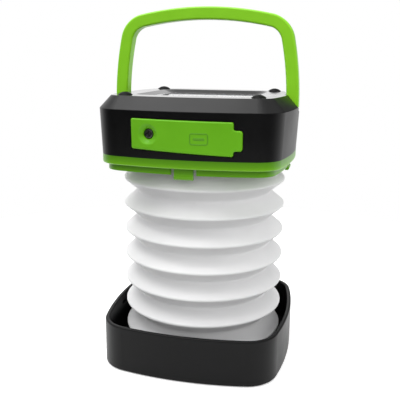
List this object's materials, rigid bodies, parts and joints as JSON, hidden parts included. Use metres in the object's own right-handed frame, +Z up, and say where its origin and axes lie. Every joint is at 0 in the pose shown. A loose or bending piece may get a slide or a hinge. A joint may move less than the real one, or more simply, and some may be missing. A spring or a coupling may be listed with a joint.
{
  "type": "collapsible solar camping lantern",
  "caption": "Collapsible camping lantern: square lamp head with bail handle, solar panel and covered sockets on a silicone bellows that folds into a base tray.",
  "frame": {"origin": "centre of the underside, on the plane the lantern stands on", "axes": "+Z up along the bellows, -Y towards the socket cover (front), +X to the right seen from the front"},
  "size_m": [0.0966, 0.0967, 0.1809],
  "materials": {
    "black_plastic": "fine spark texture, satin",
    "green_plastic": "smooth moulded, soft gloss",
    "green_rubber": "smooth moulded elastomer",
    "black_rubber": "matt",
    "silicone": "translucent white, satin",
    "white_plastic": "moulded",
    "frosted_plastic": "frosted",
    "clear_plastic": "clear, glossy",
    "solar_silicon": "dark blue with silver lines",
    "circuit_board": "green solder mask",
    "white_board": "white solder mask on aluminium",
    "led_package": "phosphor lens",
    "component_black": "moulded packages",
    "nickel_steel": "bright nickel plate",
    "zinc_steel": "zinc plate",
    "cell_wrap": "glossy shrink sleeve",
    "red_insulation": "wire insulation"
  },
  "bodies": {
    "base": {"base_tray": "black_plastic", "base_pad": "black_rubber", "base_screws": "zinc_steel", "bellows_clamp_plate": "white_plastic", "bellows": "silicone"},
    "head": {"battery_cell": "cell_wrap", "battery_contacts": "nickel_steel", "battery_cradle": "black_plastic", "battery_leads": "red_insulation", "board_components": "component_black", "clamp_ring_screws": "zinc_steel", "cradle_screws": "zinc_steel", "handle_pins": "zinc_steel", "head_housing": "black_plastic", "housing_screws": "zinc_steel", "housing_seal": "black_rubber", "indicator_leds": "led_package", "indicator_light_pipes": "clear_plastic", "lamp_board": "white_board", "lamp_board_screws": "zinc_steel", "lamp_emitters": "led_package", "lamp_leads": "red_insulation", "lamp_window": "frosted_plastic", "lower_cover": "green_plastic", "main_board": "circuit_board", "main_board_screws": "zinc_steel", "micro_input_socket": "nickel_steel", "panel_window": "clear_plastic", "port_cover_anchor": "green_rubber", "port_cover_screw": "nickel_steel", "solar_backing": "circuit_board", "solar_cells": "solar_silicon", "solar_leads": "red_insulation", "switch_board": "circuit_board", "switch_board_screws": "zinc_steel", "tact_switch": "component_black", "top_feet": "black_rubber", "upper_clamp_ring": "white_plastic", "usb_output_socket": "nickel_steel", "usb_output_tongue": "white_plastic"},
    "handle": {"handle": "green_plastic"},
    "port_cover": {"port_cover": "green_rubber"},
    "power_button": {"power_button": "green_rubber", "switch_plunger": "component_black"}
  },
  "joints": [
    {"name": "head_slide", "type": "slide", "parent": "base", "child": "head", "axis": [0, 0, 1], "range_m": [-0.082, 0], "deforming": ["bellows"]},
    {"name": "handle_hinge", "type": "hinge", "parent": "head", "child": "handle", "pos_m": [0, 0, 0.133], "axis": [-1, 0, 0], "range_deg": [0, 90]},
    {"name": "port_cover_hinge", "type": "hinge", "parent": "head", "child": "port_cover", "pos_m": [-0.0102, -0.0465, 0.1217], "axis": [0, 0, -1], "range_deg": [0, 95], "stiffness_Nm_per_rad": 0.0008},
    {"name": "power_button_press", "type": "slide", "parent": "head", "child": "power_button", "axis": [0, -1, 0], "range_m": [0, 0.0006], "stiffness_N_per_m": 2500}
  ]
}
